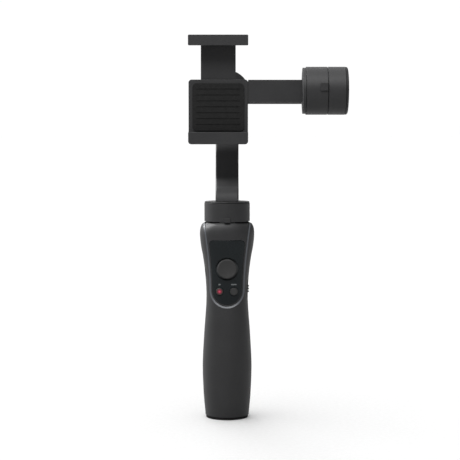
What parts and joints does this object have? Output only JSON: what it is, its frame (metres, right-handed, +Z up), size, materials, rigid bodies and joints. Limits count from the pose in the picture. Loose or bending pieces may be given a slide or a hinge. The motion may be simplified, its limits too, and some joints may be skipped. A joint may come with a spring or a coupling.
{
  "type": "camera gimbal",
  "caption": "Handheld three-axis phone gimbal: grip with joystick and buttons, pan, roll and tilt motors on two arms, and a sprung phone clamp.",
  "frame": {"origin": "centre of the assembly's box in X and Y, on the plane that the base pad stands on", "axes": "+Z up along the grip, -Y the side with the controls that faces the user, +X the side of the tilt motor"},
  "size_m": [0.1208, 0.0874, 0.2951],
  "materials": {
    "charcoal_plastic": "fine matte moulded",
    "black_plastic": "matte moulded",
    "gloss_panel": "glossy",
    "red_button": "satin",
    "rubber": "matte",
    "steel": "plain",
    "brass_insert": "turned",
    "motor_alloy": "cast",
    "windings": "enamelled wire on a steel core",
    "magnets": "plated",
    "circuit_board": "solder mask",
    "battery_wrap": "film sleeve on a metal can"
  },
  "bodies": {
    "handle": {"grip_front_shell": "charcoal_plastic", "grip_rear_shell": "charcoal_plastic", "control_fascia": "charcoal_plastic", "control_panel": "gloss_panel", "joystick_base": "black_plastic", "record_switch": "black_plastic", "mode_switch": "black_plastic", "zoom_switch": "black_plastic", "main_circuit_board": "circuit_board", "charge_port": "steel", "battery_tray": "black_plastic", "battery_cell": "battery_wrap", "base_cap": "black_plastic", "tripod_insert": "brass_insert", "base_pad": "rubber", "grip_screw_low": "steel", "grip_screw_high": "steel", "pan_stator_mount": "motor_alloy", "pan_stator_core": "windings", "pan_bearing": "steel"},
    "joystick_yoke": {"joystick_yoke": "steel"},
    "joystick_cap": {"joystick_cap": "charcoal_plastic"},
    "record_button": {"record_button": "red_button"},
    "mode_button": {"mode_button": "charcoal_plastic"},
    "zoom_slider": {"zoom_slider": "charcoal_plastic"},
    "pan_stage": {"pan_rotor_housing": "charcoal_plastic", "pan_magnet_ring": "magnets", "pan_shaft": "steel", "pan_cover": "black_plastic", "pan_index_tab": "charcoal_plastic", "pan_arm": "charcoal_plastic", "pan_arm_cover": "charcoal_plastic", "roll_stator_housing": "charcoal_plastic", "roll_stator_core": "windings", "roll_bearing": "steel"},
    "roll_stage": {"roll_rotor_housing": "charcoal_plastic", "roll_magnet_ring": "magnets", "roll_shaft": "steel", "roll_arm": "charcoal_plastic", "roll_arm_cover": "charcoal_plastic", "tilt_outer_housing": "charcoal_plastic", "tilt_end_cap": "black_plastic", "tilt_stator_core": "windings", "tilt_bearing": "steel"},
    "clamp": {"tilt_rotor_housing": "charcoal_plastic", "tilt_magnet_ring": "magnets", "tilt_shaft": "steel", "tilt_index_tab": "charcoal_plastic", "clamp_bracket": "charcoal_plastic", "clamp_body": "charcoal_plastic", "clamp_back_cover": "charcoal_plastic", "cover_screw": "steel", "lower_jaw_pad": "rubber", "back_pad": "rubber", "guide_rod_left": "steel", "guide_rod_right": "steel", "jaw_spring_left": "steel", "jaw_spring_right": "steel"},
    "jaw": {"upper_jaw": "charcoal_plastic", "upper_jaw_pad": "rubber"}
  },
  "joints": [
    {"name": "pan", "type": "hinge", "parent": "handle", "child": "pan_stage", "pos_m": [-0.03103, -0.00433, 0.16], "axis": [0, 0, 1], "range_deg": [-160, 160]},
    {"name": "roll", "type": "hinge", "parent": "pan_stage", "child": "roll_stage", "pos_m": [-0.03103, 0.03237, 0.2533], "axis": [0, 1, 0], "range_deg": [-110, 45]},
    {"name": "tilt", "type": "hinge", "parent": "roll_stage", "child": "clamp", "pos_m": [0.04487, -0.02433, 0.2533], "axis": [1, 0, 0], "range_deg": [-50, 100]},
    {"name": "jaw_slide", "type": "slide", "parent": "clamp", "child": "jaw", "axis": [0, 0, 1], "range_m": [-0.013, 0.015], "deforming": ["jaw_spring_left", "jaw_spring_right"]},
    {"name": "joystick_pitch", "type": "hinge", "parent": "handle", "child": "joystick_yoke", "pos_m": [-0.03103, -0.01643, 0.1175], "axis": [1, 0, 0], "range_deg": [-10, 10], "stiffness_Nm_per_rad": 0.02},
    {"name": "joystick_yaw", "type": "hinge", "parent": "joystick_yoke", "child": "joystick_cap", "pos_m": [-0.03103, -0.01643, 0.1175], "axis": [0, 0, 1], "range_deg": [-10, 10], "stiffness_Nm_per_rad": 0.02},
    {"name": "record_press", "type": "slide", "parent": "handle", "child": "record_button", "axis": [0, 1, 0], "range_m": [0, 0.0006], "stiffness_N_per_m": 800},
    {"name": "mode_press", "type": "slide", "parent": "handle", "child": "mode_button", "axis": [0, 1, 0], "range_m": [0, 0.0006], "stiffness_N_per_m": 800},
    {"name": "zoom_rock", "type": "slide", "parent": "handle", "child": "zoom_slider", "axis": [0, 0, 1], "range_m": [-0.002, 0.002], "stiffness_N_per_m": 300}
  ]
}
